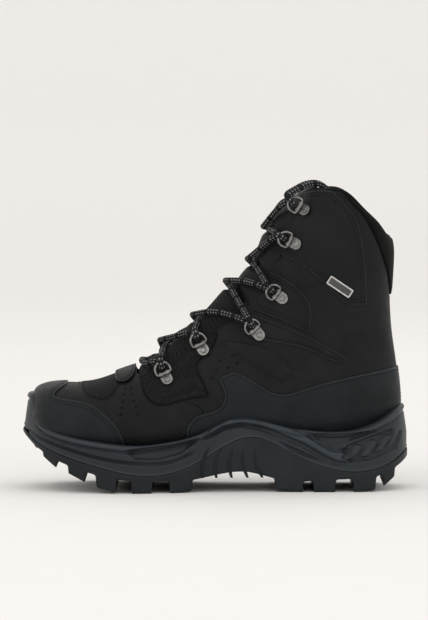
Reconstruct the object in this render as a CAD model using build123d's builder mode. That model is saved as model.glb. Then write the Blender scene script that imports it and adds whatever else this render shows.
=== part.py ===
"""A left hiking boot, size about EU 42, in millimetres.

The toe points along -X, the lateral (outer) side faces -Y and +Z is up.
The origin is under the middle of the boot, on the ground.
The upper is a stack of layers: every layer lies between two insets from one outer surface.
"""

from build123d import *
import os
from functools import lru_cache
from math import cos, hypot, pi, radians, sin, tan

os.makedirs("parts", exist_ok=True)

# Layers of the upper, as insets from its outermost surface.
GAP = 0.2
OVERLAY_IN = 1.3
BASE_OUT = OVERLAY_IN + GAP
BASE_IN = 3.3
STIFFENER_OUT = BASE_IN + GAP
STIFFENER_IN = 5.3
LINING_OUT = STIFFENER_IN + GAP
LINING_IN = 8.0
SEAM = 0.4  # gap between pieces that lie side by side in one layer
MESH = 0.8  # how much of the vamp's window stands over the base leather
STRAP_PROUD = 1.4  # how far the strap at the throat's base stands out
BAR_PROUD = 1.6  # how far the padded bars stand out
HALF_SPACE = 80  # reaches past either side of the boot
ABOVE = 262  # a height over the whole boot
BEYOND = 170  # reaches past the toe and the heel

# Sole.
FLARE_HEIGHT = 45  # the sole is widest below this height
SIDEWALL_TAPER = 8  # degrees, above that height
RUBBER_WALL = 5  # width of the outsole's rim
OUTSOLE_PROUD = 0.6  # how far the outsole's rim stands outside the midsole
BOARD = 2.4
FOOTBED = 4
SHANK = 1.5
SHANK_WIDTH = 22
SHANK_LENGTH = 115
SHANK_MIDDLE = 30
LUG_DEPTH = 10

# Lacing hardware.
WIRE = 0.9  # radius of the D-ring wire
PIN_CLEARANCE = 0.05
BARREL = 1.8  # outer radius of the clip's fold
BARREL_WIDTH = 8
PLATE_WIDTH = 8.7
PLATE_LENGTH = 10
PLATE = 0.8
PLATE_LIFT = 0.35  # clearance from the tangent plane of the leather
RING_HALF = 6  # half the ring's width, at the wire's centre
RING_REACH = 9.2
RING_CORNER = 1.6
RING_TILT = 42  # degrees off the leather
RIVET_HEAD = 2.4
RIVET_SHANK = 1.2
RIVET_DOME = 1.1
BADGE = (21.5, 7.3, 1.6)  # length, height and thickness
BADGE_RIM = 1.1
BADGE_PLACE = (97.5, 160.7, 34)  # X, Z and slope below the horizontal, to the rear
LACE = 4.6  # diameter
ARC_SHARE = 0.45  # how much of the shorter run an arc of the lace takes up
AGLET = 4.2  # diameter
AGLET_LENGTH = 20

# Sections of the upper: a point on the front ridge, a point on the heel or below the sole,
# half the width, the shift of the middle to the medial side, and the fullness of the outline.
SECTIONS = [
    ((-145.2, 66), (-145.6, 48), 7, 3, 0.55),
    ((-142.5, 78), (-144, 42), 24, 3, 0.60),
    ((-135, 82.5), (-138, 36), 36, 2, 0.66),
    ((-120, 84.6), (-123, 28), 45, 1, 0.70),
    ((-98, 85.5), (-100, 22), 50, 0, 0.70),
    ((-72, 94), (-70, 18), 51, 0, 0.66),
    ((-48, 103), (-38, 16), 47, 0, 0.62),
    ((-27, 121.5), (0, 14), 42, 0, 0.60),
    ((-8, 138.5), (45, 14), 39.5, 0, 0.59),
    ((8, 156.5), (98, 18), 38, 0, 0.58),
    ((22, 170), (142, 42), 37, 0, 0.58),
    ((31, 181), (146.4, 84), 36, 0, 0.58),
    ((36, 194), (141, 125), 36, 0, 0.58),
    ((42, 207), (139.6, 160), 37, 0, 0.58),
    ((52, 221), (140.6, 192), 38.5, 0, 0.58),
    ((66, 233), (139.6, 222), 40, 0, 0.58),
    ((76, 246), (138.6, 246), 41, 0, 0.58),
]
TOE_SHIFT = (1, 0.95, 0.6, 0.2)  # how much of an inset moves the first sections back

# Plan of the sole, from the toe along the lateral side and back along the medial side.
PLAN = [
    (-152.4, 3), (-146, -21), (-128, -41.5), (-95, -54), (-60, -56), (-20, -48), (20, -43.5), (60, -42.5),
    (100, -43), (130, -37.5), (147, -21), (152.4, 0), (147, 21), (130, 36.5), (100, 41.5), (60, 41), (20, 42),
    (-20, 46.5), (-60, 55.4), (-95, 55), (-128, 44), (-146, 26),
]

# Side profiles, as points in X and Z.
FEATHER = [
    (-152, 54), (-130, 41), (-100, 31.5), (-65, 27.5), (-30, 28.5), (0, 33), (40, 38), (90, 37.5), (152, 40),
]
CORE = [
    (-156, 58), (-137, 39), (-120, 29), (-100, 21), (-60, 13.5), (-20, 13.5), (24, 19.5), (60, 15), (105, 14),
    (130, 18), (156, 33),
]
SOLE_TOP = [
    (-156, 76), (-145.4, 73.9), (-144.6, 57), (-126.9, 47.6), (-90.5, 39.9), (-60, 37.3), (-36.1, 39.9), (-8.9, 47.2),
    (7.3, 56.2), (25, 59), (52.4, 52.1), (80, 48), (109.8, 48.4), (134.9, 56.6), (156, 70),
]
LIP = [
    (-156, 55), (-145.9, 43.1), (-122.3, 30.3), (-90.5, 20.4), (-63.4, 14.2), (-45.2, 13.9), (-18, 21.3), (3.6, 34),
    (28.6, 43.5), (52.4, 35.3), (81.1, 21.6), (113.6, 16), (141.1, 24.1), (156, 36),
]
ROOT = [
    (-156, 49), (-145, 38.5), (-134, 30.5), (-120, 23.5), (-100, 16.5), (-80, 11.5), (-50, 9.5), (-18, 10),
    (24, 16), (50, 10), (100, 10), (130, 13), (143, 19), (156, 29),
]
COLLAR = [(57, 229), (72, 235), (84.5, 236.4), (97, 235.4), (116, 221), (130, 208.6), (139.5, 197), (152, 186)]
THROAT = [
    (-66, 91), (-42, 97.5), (-14, 119.5), (8, 137), (26, 152), (40, 170), (50, 196), (59, 218), (70, 244),
]
TONGUE_WING = 13  # how far the tongue reaches under the facings
WING_BACK = 0.75  # the share of that which goes along X
WING_DOWN = 0.65  # the share of that which goes down
THROAT_FRONT = 1  # the throat's flat front end, ahead of its first point

# Ground lugs: front and rear X, and the heights of their front and rear bottom edges.
LUGS = [
    (-150, -140, 46, 33), (-134.7, -124, 27.6, 19), (-114.5, -101.5, 15.4, 8.7), (-92.4, -77.4, 5, 0.8),
    (-64.8, -49.4, 0, 0), (-35.2, -18.2, 0, 1.5), (47.4, 68.7, 2, 0), (77.4, 94, 0, 0), (108.6, 125.6, 0, 1.5),
    (132.3, 141, 4, 11),
]
CHANNELS = [-16, 16]  # middles of the two long grooves between the rows of lugs
CHANNEL_WIDTH = 7

# D-rings: the middle of each bar in X and Z, and its slope below the horizontal, in degrees.
RINGS = [
    (-39.3, 91.7, 61), (-11.2, 114.3, 59), (31.1, 126.5, 47), (48.8, 154.2, 35), (59.3, 196.2, 27), (67.2, 222, 27),
]

# The lace's two halves, each from the bottom bar over the tongue to its end inside the shaft, in X, Y and Z.
# The first half passes under the second at the first crossing, and they take turns from there.
LACE_HALF_1 = [
    (-58, -11, 101), (-54, -27, 99), (-46, -34.5, 103), (-43, -34, 97.5),
    (-41, -42.5, 98), (-43.5, -43, 105.5), (-41, -23, 108.5), (-40, -6, 113),
    (-39, 6, 113.5), (-30, 17, 120), (-18.5, 28.5, 125.5), (-15, 28, 120),
    (-13, 36, 120), (-16.5, 37.5, 127), (-14, 21, 131), (-17.8, 6, 140.4),
    (-17.3, -6.5, 141.4), (-1, -22, 141.5), (22, -36, 135.5), (26, -33, 131.5),
    (30, -40.5, 130), (26, -44, 136), (16.5, -24.5, 152), (11, -6, 165),
    (12.5, 6, 164.5), (23, 20, 164), (37.5, 31.5, 161), (42.5, 29, 158),
    (46, 36.5, 157), (40.5, 40, 161.5), (35, 22, 172), (22.5, 7, 185.5),
    (23, -7, 186), (37, -18, 191.5), (47, -30, 200.5), (52.5, -28.5, 198.5),
    (54.5, -37, 198.5), (48, -39, 202), (45, -22, 204.5), (39, -6, 209),
    (40, 6, 210), (48, 14, 219), (55.5, 24, 227.5), (61, 24.5, 225),
    (61.5, 32.5, 226.5), (55.5, 32, 231), (64, 28.5, 236), (72, 24.5, 240.5),
    (81.5, 18.5, 241.5), (89, 14, 236.5), (92, 12, 226), (93, 11, 212),
]
LACE_HALF_2 = [
    (-58, 11, 101), (-54, 27, 99), (-46, 34.5, 103), (-43, 34, 97.5),
    (-41, 42.5, 98), (-43.5, 43, 105.5), (-41, 23, 109), (-43.8, 5.5, 116.4),
    (-43.3, -5.5, 117.3), (-31, -17, 121), (-18.5, -28.5, 125.5), (-15, -28, 120),
    (-13, -36, 120), (-16.5, -37.5, 127), (-14, -21, 130.5), (-14.5, -6, 136),
    (-14, 6, 137), (-1, 21, 141), (22, 36, 135.5), (26, 33, 131.5),
    (30, 40.5, 130), (26, 44, 136), (18, 26, 151), (7.5, 7, 168),
    (8, -7, 169), (23, -20, 165), (37.5, -31.5, 161), (42.5, -29, 158),
    (46, -36.5, 157), (40.5, -40, 161.5), (35, -22.5, 172), (27.5, -6, 183),
    (28.5, 6, 184), (37, 18, 191), (47, 30, 200.5), (52.5, 28.5, 198.5),
    (54.5, 37, 198.5), (48, 39, 202), (45, 22, 205), (34.5, 6.5, 211.5),
    (35, -6.5, 212.5), (47.5, -14, 219.5), (55.5, -24, 227.5), (61, -24.5, 225),
    (61.5, -32.5, 226.5), (55.5, -32, 231), (64, -28.5, 236), (72, -24.5, 240.5),
    (81.5, -18.5, 241.5), (89, -14, 236.5), (92, -12, 226), (93, -11, 212),
]


def save(part, name):
    """Label a finished piece and write its STEP file."""
    part.label = name
    export_step(part, f"parts/{name}.step")


@lru_cache(maxsize=None)
def boot_form(inset):
    """The closed form of the upper, this far inside its outermost surface."""
    outlines = []
    for number, (ridge, heel, half, shift, full) in enumerate(SECTIONS):
        back = inset * TOE_SHIFT[number] if number < len(TOE_SHIFT) else 0
        lift = abs(inset) * 0.5 if number == len(SECTIONS) - 1 else 0
        length = hypot(heel[0] - ridge[0], heel[1] - ridge[1])
        ux = (heel[0] - ridge[0]) / length
        uz = (heel[1] - ridge[1]) / length
        middle = length / 2
        near = inset * (0.5 if number == 0 else 1)
        far = length - near
        wide = half - near
        bow = (middle - near) * full
        side = wide * full
        left = shift - wide
        right = shift + wide
        section = Plane(origin=(ridge[0] + back, 0, ridge[1] + lift), x_dir=(ux, 0, uz), z_dir=(-uz, 0, ux))
        with BuildLine(section):
            arcs = [
                Bezier(*points, mode=Mode.PRIVATE)
                for points in (
                    ((near, shift), (near, shift - side), (middle - bow, left), (middle, left)),
                    ((middle, left), (middle + bow, left), (far, shift - side), (far, shift)),
                    ((far, shift), (far, shift + side), (middle + bow, right), (middle, right)),
                    ((middle, right), (middle - bow, right), (near, shift + side), (near, shift)),
                )
            ]
        outlines.append(Face(Wire([arc.edge() for arc in arcs])))
    with BuildPart() as form:
        loft(outlines, clean=False)
    return form.part


def side_outline(*runs):
    """A closed outline in the XZ plane: each run of points is a smooth curve, and straight lines join them."""
    with BuildSketch(Plane.XZ) as outline:
        with BuildLine():
            for number, run in enumerate(runs):
                if len(run) > 2:
                    Spline(*run)
                elif len(run) == 2:
                    Line(*run)
                Line(run[-1], runs[(number + 1) % len(runs)][0])
        make_face()
    return outline.sketch


def side_prism(*runs, sides=(-1, 1)):
    """That outline carried across the boot, to the lateral side (-1), the medial side (1) or both."""
    with BuildPart() as prism:
        if len(sides) == 2:
            extrude(side_outline(*runs), amount=HALF_SPACE, both=True)
        else:
            extrude(side_outline(*runs), amount=-sides[0] * HALF_SPACE)
    return prism.part


def moved(points, dx, dz):
    """A run of profile points, shifted in X and Z."""
    return [(x + dx, z + dz) for x, z in points]


@lru_cache(maxsize=None)
def layer(outer, inner):
    """The upper's wall between two insets, cut off at the feather edge and at the collar."""
    with BuildPart() as wall:
        add(boot_form(outer), clean=False)
        add(boot_form(inner), mode=Mode.SUBTRACT, clean=False)
        add(side_prism(FEATHER, COLLAR[::-1], [(40, ABOVE), (-BEYOND, ABOVE)]), mode=Mode.INTERSECT, clean=False)
    return wall.part


def throat_prism(back):
    """The region in front of the facings' edges, grown back under them and forward by this much."""
    edge = moved(THROAT, back * WING_BACK, -back * WING_DOWN)
    front = (edge[0][0] - THROAT_FRONT - 2 * back * WING_BACK, edge[0][1])
    return side_prism(edge, [(90, ABOVE + 30), (front[0], ABOVE + 30)], [front])


def panel(name, outer, inner, *runs, sides=(-1, 1), cut=()):
    """One piece of a layer, between two insets and inside a side outline, less the regions in cut."""
    with BuildPart() as piece:
        add(layer(outer, inner), clean=False)
        add(side_prism(*runs, sides=sides), mode=Mode.INTERSECT, clean=False)
        for region in cut:
            add(region, mode=Mode.SUBTRACT, clean=False)
    save(piece.part, name)
    return piece.part


def pair(name, outer, inner, *runs, cut=()):
    """The lateral and the medial piece with one outline."""
    panel(f"{name}_lateral", outer, inner, *runs, sides=(-1,), cut=cut)
    panel(f"{name}_medial", outer, inner, *runs, sides=(1,), cut=cut)


# ---- Lacing hardware ------------------------------------------------------------------------
def ring_frames(x, z, slope):
    """The leather's plane under a D-ring on the lateral side, and the ring's own plane.

    In both, x runs along the bar and y points to the throat; the ring's origin is on the bar.
    """
    hits = boot_form(0).find_intersection_points(Axis((x, -200, z), (0, 1, 0)))
    point, normal = min(hits, key=lambda hit: hit[0].Y)
    if normal.Y > 0:
        normal = -normal
    angle = radians(slope)
    across = (cos(angle) * normal.X - sin(angle) * normal.Z) / normal.Y
    forward = Vector(-cos(angle), across, sin(angle)).normalized()
    bar = forward.cross(normal)
    leather = Plane(origin=point, x_dir=bar, z_dir=normal)
    tilt = radians(RING_TILT)
    centre = point + normal * (PLATE_LIFT + BARREL)
    ring = Plane(origin=centre, x_dir=bar, z_dir=normal * cos(tilt) - forward * sin(tilt))
    return leather, ring


def clip(leather, ring):
    """A plate folded over the ring's bar, with a hole for its rivet."""
    rear = PLATE_LENGTH - PLATE_WIDTH / 2
    with BuildPart() as piece:
        with BuildSketch(leather.offset(PLATE_LIFT)):
            with Locations((0, -rear / 2)):
                Rectangle(PLATE_WIDTH, rear)
            with Locations((0, -rear)):
                Circle(PLATE_WIDTH / 2)
                Circle(RIVET_SHANK + PIN_CLEARANCE, mode=Mode.SUBTRACT)
        extrude(amount=PLATE)
        with BuildSketch(Plane(origin=ring.origin, z_dir=ring.x_dir)):
            Circle(BARREL)
        extrude(amount=BARREL_WIDTH / 2, both=True)
        with BuildSketch(Plane(origin=ring.origin, z_dir=ring.x_dir)):
            Circle(WIRE + PIN_CLEARANCE)
        extrude(amount=BARREL_WIDTH, both=True, mode=Mode.SUBTRACT)
    return piece.part


def rivet(leather):
    """A domed rivet through the plate and the leather."""
    seat = leather.offset(PLATE_LIFT + PLATE)
    with BuildPart() as piece:
        with BuildSketch(seat):
            with Locations((0, PLATE_WIDTH / 2 - PLATE_LENGTH)):
                Circle(RIVET_HEAD)
        extrude(amount=RIVET_DOME)
        top = piece.faces().sort_by(Axis(leather.origin, leather.z_dir))[-1]
        fillet(top.edges(), RIVET_DOME * 0.8)
        with BuildSketch(seat):
            with Locations((0, PLATE_WIDTH / 2 - PLATE_LENGTH)):
                Circle(RIVET_SHANK)
        extrude(amount=-(PLATE + PLATE_LIFT + BASE_IN - GAP))
    return piece.part


def rivet_hole(leather):
    """The hole that a rivet's shank passes through, in every layer of leather."""
    with BuildPart() as hole:
        with BuildSketch(leather.offset(-BASE_IN * 2)):
            with Locations((0, PLATE_WIDTH / 2 - PLATE_LENGTH)):
                Circle(RIVET_SHANK + 3 * PIN_CLEARANCE)
        extrude(amount=BASE_IN * 3)
    return hole.part


def d_ring(ring):
    """Round wire bent to a D: the bar, two short sides and a half circle."""
    straight = RING_HALF - RING_CORNER
    arch = RING_REACH - RING_HALF
    with BuildPart() as piece:
        with BuildLine(ring) as path:
            Line((0, 0), (straight, 0))
            RadiusArc((straight, 0), (RING_HALF, RING_CORNER), -RING_CORNER)
            Line((RING_HALF, RING_CORNER), (RING_HALF, arch))
            ThreePointArc((RING_HALF, arch), (0, RING_REACH), (-RING_HALF, arch))
            Line((-RING_HALF, arch), (-RING_HALF, RING_CORNER))
            RadiusArc((-RING_HALF, RING_CORNER), (-straight, 0), -RING_CORNER)
            Line((-straight, 0), (0, 0))
        with BuildSketch(Plane(origin=ring.origin, z_dir=ring.x_dir)):
            Circle(WIRE)
        sweep(path=path.wires()[0])
    return piece.part


def mirrored(part):
    """The medial twin of a lateral piece."""
    with BuildPart() as twin:
        add(part)
        mirror(about=Plane.XZ, mode=Mode.REPLACE)
    return twin.part


frames = [ring_frames(*ring) for ring in RINGS]
clips = []
rivets = []
holes = []
for number, (leather, ring) in enumerate(frames, 1):
    clips.append(clip(leather, ring))
    rivets.append(rivet(leather))
    hole = rivet_hole(leather)
    holes.extend([hole, mirrored(hole)])
    wire = d_ring(ring)
    save(wire, f"d_ring_lateral_{number}")
    save(mirrored(wire), f"d_ring_medial_{number}")
for name, pieces in (("ring_clips", clips), ("clip_rivets", rivets)):
    save(Compound(children=pieces), f"{name}_lateral")
    save(Compound(children=[mirrored(piece) for piece in pieces]), f"{name}_medial")

# ---- The upper's inner layers ---------------------------------------------------------------
FRONT = [(-BEYOND, 0), (-BEYOND, ABOVE)]
REAR = [(BEYOND, ABOVE), (BEYOND, 0)]
board_top = moved(FEATHER, 0, BOARD + GAP)
above_board = side_prism(board_top, [(BEYOND, ABOVE), (-BEYOND, ABOVE)])
below_board = side_prism(board_top, [(BEYOND, 0), (-BEYOND, 0)])
wing = throat_prism(TONGUE_WING)
behind_wing = throat_prism(TONGUE_WING + SEAM)

with BuildPart() as lining:
    add(layer(LINING_OUT, LINING_IN), clean=False)
    add(above_board, mode=Mode.INTERSECT, clean=False)
    add(behind_wing, mode=Mode.SUBTRACT, clean=False)
save(lining.part, "lining")

panel("toe_puff", STIFFENER_OUT, STIFFENER_IN, FRONT, [(-96, ABOVE), (-98, 70), (-88, 0)], cut=[below_board])
panel(
    "heel_counter", STIFFENER_OUT, STIFFENER_IN, [(BEYOND, 0)], [(62, 0), (70, 60), (96, 98), (135, 112), (BEYOND, 114)],
    cut=[below_board],
)
panel(
    "ankle_foam", STIFFENER_OUT, STIFFENER_IN,
    [(BEYOND, ABOVE), (0, ABOVE)], [(20, 100), (60, 96), (94, 102), (135, 116), (BEYOND, 118)], cut=[behind_wing],
)

with BuildPart() as tongue_padding:
    add(layer(STIFFENER_OUT, LINING_IN), clean=False)
    add(wing, mode=Mode.INTERSECT, clean=False)
save(tongue_padding.part, "tongue_padding")

with BuildPart() as tongue_face:
    add(layer(0, BASE_IN), clean=False)
    add(throat_prism(-SEAM), mode=Mode.INTERSECT, clean=False)
save(tongue_face.part, "tongue_face")

# ---- The upper's base leather -----------------------------------------------------------------
throat = throat_prism(0)
vamp_seam = [(-66, 140), (-60, 92), (-36, 73), (-10, 63), (-9, 50), (-14, 20), (-16, 0)]
quarter_seam = moved(vamp_seam, SEAM, 0)
collar_edge = [
    (97, ABOVE), (99.5, 232), (116.4, 215.4), (130.7, 188.4), (137.5, 166), (139, 152), (BEYOND, 146),
]
collar_region = side_prism(collar_edge, [(BEYOND, ABOVE)])
panel("vamp", BASE_OUT, BASE_IN, FRONT, vamp_seam, cut=[throat])
pair("quarter", BASE_OUT, BASE_IN, REAR, quarter_seam[::-1], [(-66, ABOVE)], cut=[throat, collar_region, *holes])
panel("collar_cover", 0, BASE_IN, moved(collar_edge, SEAM, SEAM), [(BEYOND, ABOVE)], cut=[throat])

# ---- Overlays ---------------------------------------------------------------------------------
cap_edge = [(-117, 100), (-117, 84), (-126.4, 76.6), (-101.9, 70.7), (-86, 61.6), (-75, 49), (-69, 20)]
panel("toe_cap", 0, OVERLAY_IN, [(-BEYOND, 0), (-BEYOND, 100)], cap_edge)
vamp_window = [(-106, 100), (-106, 82), (-101, 77.4), (-87, 73.5), (-76, 83), (-76, 100)]
panel("vamp_mesh", BASE_OUT - MESH, OVERLAY_IN, vamp_window)
panel("throat_strap", -STRAP_PROUD, -GAP, [(-80, 110), (-78, 90), (-62.5, 96), (-62.5, 110)])
pair(
    "mesh_panel", 0, OVERLAY_IN,
    [(-59, 92), (-55, 77), (-46, 68.8), (-26, 71.5), (-4, 74.8)], [(-9.5, 88.5), (-14, 100), (3, 112)],
    [(2, 128), (-14, 132)], [(-59, 110)], cut=[throat, *holes],
)
pair(
    "heel_overlay", 0, OVERLAY_IN,
    [(-24, 10), (-22, 48), (-15.8, 58.1), (3, 65), (7.5, 72), (2.4, 88.6)],
    [(15, 94.5), (30, 86.5), (49, 76.4), (71.9, 80.6), (99.5, 88.2), (122.5, 92.6), (BEYOND, 97)],
    [(BEYOND, 10)],
)
pair("bar_strap", -BAR_PROUD, OVERLAY_IN, [(4, 119), (37.8, 113.4), (62, 93)], [(52, 85.6), (21.3, 104.6)])
pair(
    "instep_strap", 0, OVERLAY_IN,
    [(23, 133)], [(29, 138.5), (54, 130), (89.6, 112.6), (104, 104.6)],
    [(105, 101), (93, 102), (77, 109.7), (42, 118), (26, 121.5)], cut=[throat, *holes],
)
pair(
    "facing", 0, OVERLAY_IN,
    [(27, 152)], [(29, 142), (54, 133.5), (73, 124.5)], [(75.5, 135), (75, 145), (66.8, 157.7), (34, 175.4)],
    [(20, 176)], cut=[throat, *holes],
)
pair(
    "cuff", 0, OVERLAY_IN,
    [(40, 190), (66.8, 177.9), (84.5, 164), (103.5, 145.7)],
    [(119.3, 146.3), (118, 172), (114.2, 200.7), (111, 212), (93, 234)], [(93, ABOVE), (40, ABOVE)],
    cut=[throat, collar_region, *holes],
)

# ---- Insole and shank --------------------------------------------------------------------------
def foot_band(inset, low, high):
    """The inside of the boot at this inset, between two heights over the feather edge."""
    with BuildPart() as band:
        add(boot_form(inset), clean=False)
        add(side_prism(moved(FEATHER, 0, low), moved(FEATHER, 0, high)[::-1]), mode=Mode.INTERSECT, clean=False)
    return band.part


save(foot_band(STIFFENER_OUT, 0, BOARD), "insole_board")
footbed = foot_band(LINING_IN + GAP, BOARD + GAP, BOARD + GAP + FOOTBED)
save(footbed.solids().sort_by(SortBy.VOLUME)[-1], "footbed")

with BuildPart() as shank:
    add(side_prism(moved(FEATHER, 0, -GAP), moved(FEATHER, 0, -GAP - SHANK)[::-1]))
    with Locations((SHANK_MIDDLE, 0, 0)):
        Box(SHANK_LENGTH, SHANK_WIDTH, 200, mode=Mode.INTERSECT)
save(shank.part, "shank")
with BuildPart() as shank_pocket:
    add(side_prism(moved(FEATHER, 0, 2), moved(FEATHER, 0, -2 * GAP - SHANK)[::-1]))
    with Locations((SHANK_MIDDLE, 0, 0)):
        Box(SHANK_LENGTH + 2 * GAP, SHANK_WIDTH + 2 * GAP, 200, mode=Mode.INTERSECT)


# ---- Sole --------------------------------------------------------------------------------------
def sole_plan(inset):
    """The plan outline's points, drawn in towards the middle by about this much."""
    long = 1 - inset / PLAN[11][0]
    wide = 1 - inset / -PLAN[6][1]
    return [(x * long, y * wide) for x, y in PLAN]


def sole_block(inset):
    """The sole's plan outline carried up: straight to its widest height, then tapering in."""
    rise = 40
    narrower = inset + rise * tan(radians(SIDEWALL_TAPER))
    with BuildPart() as block:
        for height, draw_in in ((0, inset), (FLARE_HEIGHT, inset), (FLARE_HEIGHT + rise, narrower)):
            with BuildSketch(Plane.XY.offset(height)):
                with BuildLine():
                    Spline(*sole_plan(draw_in), periodic=True)
                make_face()
        loft(ruled=True)
    return block.part


def profile_band(low, high):
    """The side region between two profiles that share their ends in X."""
    return side_prism(low, high[::-1])


with BuildPart() as footprint:
    add(boot_form(-GAP), clean=False)
    add(side_prism(moved(FEATHER, 0, -GAP), [(BEYOND, ABOVE), (-BEYOND, ABOVE)]), mode=Mode.INTERSECT, clean=False)

with BuildPart() as core:
    add(sole_block(RUBBER_WALL))
    add(side_prism(CORE, [(BEYOND, ABOVE), (-BEYOND, ABOVE)]), mode=Mode.INTERSECT)

with BuildPart() as lugs:
    for front, rear, front_foot, rear_foot in LUGS:
        with BuildSketch(Plane.XZ):
            with BuildLine():
                root_front = front_foot + LUG_DEPTH + 2
                root_rear = rear_foot + LUG_DEPTH + 2
                Polyline(
                    (front, front_foot), (rear, rear_foot), (rear + 1, root_rear), (front - 1, root_front),
                    close=True,
                )
            make_face()
        extrude(amount=HALF_SPACE, both=True)
    with BuildSketch(Plane.XY.offset(-1)):
        for middle in CHANNELS:
            with Locations((0, middle)):
                Rectangle(400, CHANNEL_WIDTH)
    extrude(amount=60, mode=Mode.SUBTRACT)
    add(sole_block(0), mode=Mode.INTERSECT, clean=False)
    add(side_prism(LIP, [(156, -9), (-156, -9)]), mode=Mode.INTERSECT, clean=False)

with BuildPart() as outsole:
    add(sole_block(0), clean=False)
    add(profile_band(ROOT, LIP), mode=Mode.INTERSECT, clean=False)
    add(lugs.part, clean=False)
    add(core.part, mode=Mode.SUBTRACT, clean=False)
    add(footprint.part, mode=Mode.SUBTRACT, clean=False)
save(outsole.part, "outsole")

with BuildPart() as filling:
    add(core.part, clean=False)
    add(profile_band(CORE, SOLE_TOP), mode=Mode.INTERSECT, clean=False)

with BuildPart() as midsole:
    add(sole_block(OUTSOLE_PROUD), clean=False)
    add(profile_band(LIP, SOLE_TOP), mode=Mode.INTERSECT, clean=False)
    add(filling.part, clean=False)
    add(footprint.part, mode=Mode.SUBTRACT, clean=False)
    add(shank_pocket.part, mode=Mode.SUBTRACT, clean=False)
save(midsole.part, "midsole")


# ---- Badge: a plain metal plate in a frame, on the lateral cuff -----------------------------------
hit, outward = min(
    boot_form(0).find_intersection_points(Axis((BADGE_PLACE[0], -200, BADGE_PLACE[1]), (0, 1, 0))),
    key=lambda found: found[0].Y,
)
slope = radians(BADGE_PLACE[2])
across = (sin(slope) * outward.Z - cos(slope) * outward.X) / outward.Y
along = Vector(cos(slope), across, -sin(slope))
badge_seat = Plane(origin=hit, x_dir=along, z_dir=outward).offset(PLATE_LIFT)
with BuildPart() as badge_frame:
    with BuildSketch(badge_seat):
        RectangleRounded(BADGE[0], BADGE[1], 1)
    extrude(amount=BADGE[2])
    with BuildSketch(badge_seat.offset(BADGE[2] / 2)):
        RectangleRounded(BADGE[0] - 2 * BADGE_RIM, BADGE[1] - 2 * BADGE_RIM, 0.5)
    extrude(amount=BADGE[2], mode=Mode.SUBTRACT)
save(badge_frame.part, "badge_frame")
with BuildPart() as badge_plate:
    with BuildSketch(badge_seat.offset(BADGE[2] / 2)):
        RectangleRounded(BADGE[0] - 2 * BADGE_RIM - 0.1, BADGE[1] - 2 * BADGE_RIM - 0.1, 0.5)
    extrude(amount=BADGE[2] * 0.3)
save(badge_plate.part, "badge_plate")


# ---- Lace ----------------------------------------------------------------------------------------
route = [Vector(*point) for point in [*reversed(LACE_HALF_2), *LACE_HALF_1]]
radii = []
for before, corner, after in zip(route, route[1:], route[2:]):
    turn = (corner - before).get_angle(after - corner)
    shorter = min((corner - before).length, (after - corner).length)
    radii.append(ARC_SHARE * shorter / tan(radians(turn) / 2))
with BuildPart() as lace:
    with BuildLine() as lace_path:
        FilletPolyline(*route, radius=radii)
    with BuildSketch(Plane(origin=route[0], z_dir=route[1] - route[0])):
        Circle(LACE / 2)
    sweep(path=lace_path.wires()[0])
lace_length = lace_path.wires()[0].length
print("lace length", round(lace_length))
save(lace.part, "lace")

tips = []
for end, neighbour in ((route[0], route[1]), (route[-1], route[-2])):
    with BuildPart() as tip:
        with BuildSketch(Plane(origin=end, z_dir=end - neighbour)):
            Circle(AGLET / 2)
        extrude(amount=AGLET_LENGTH)
    tips.append(tip.part)
save(Compound(children=tips), "aglets")
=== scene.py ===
"""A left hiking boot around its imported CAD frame: leather panels, textile, laces, sole and hardware.

Lengths in this file are millimetres until a mesh is made, which is in metres.
The upper is described by a chart: s counts the form's sections from the toe up to the collar, and t
runs round a section from the front ridge (0) to the heel (-1 on the lateral side, 1 on the medial).
"""
from math import cos, pi, radians, sin, tan

import bpy
import numpy as np
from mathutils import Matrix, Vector
from mathutils.geometry import delaunay_2d_cdt
from mathutils.kdtree import KDTree


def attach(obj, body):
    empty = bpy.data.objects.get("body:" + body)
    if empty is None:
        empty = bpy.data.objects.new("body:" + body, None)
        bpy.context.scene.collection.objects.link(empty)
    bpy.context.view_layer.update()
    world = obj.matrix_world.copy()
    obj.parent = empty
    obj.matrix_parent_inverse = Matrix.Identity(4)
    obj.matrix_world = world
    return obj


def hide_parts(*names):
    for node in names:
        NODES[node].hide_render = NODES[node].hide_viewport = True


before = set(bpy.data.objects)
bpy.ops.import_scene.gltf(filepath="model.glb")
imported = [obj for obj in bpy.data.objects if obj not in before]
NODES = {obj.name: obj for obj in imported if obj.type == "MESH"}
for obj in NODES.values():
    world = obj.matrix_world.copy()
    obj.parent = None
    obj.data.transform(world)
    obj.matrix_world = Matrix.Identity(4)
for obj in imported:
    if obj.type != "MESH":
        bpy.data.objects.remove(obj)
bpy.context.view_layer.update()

MM = 0.001

# ---- Camera, light and floor --------------------------------------------------------------------
LOOK_AT = Vector((-0.0008, 0, 0.1406))
DISTANCE = 3.0
ELEVATION = radians(3)

camera_data = bpy.data.cameras.new("camera")
camera_data.sensor_fit = "VERTICAL"
camera_data.sensor_height = 36
camera_data.lens = 220
camera = bpy.data.objects.new("camera", camera_data)
camera.location = LOOK_AT + DISTANCE * Vector((0, -cos(ELEVATION), sin(ELEVATION)))
camera.rotation_euler = (pi / 2 - ELEVATION, 0, 0)
bpy.context.collection.objects.link(camera)
bpy.context.scene.camera = camera
bpy.context.scene.view_settings.view_transform = "Standard"


def soft_light(name, place, size, power):
    """A square area light that faces the boot."""
    data = bpy.data.lights.new(name, "AREA")
    data.energy = power
    data.size = size
    light = bpy.data.objects.new(name, data)
    light.location = place
    light.rotation_euler = (Vector((0, 0, 0.12)) - Vector(place)).to_track_quat("-Z", "Y").to_euler()
    bpy.context.collection.objects.link(light)


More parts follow.
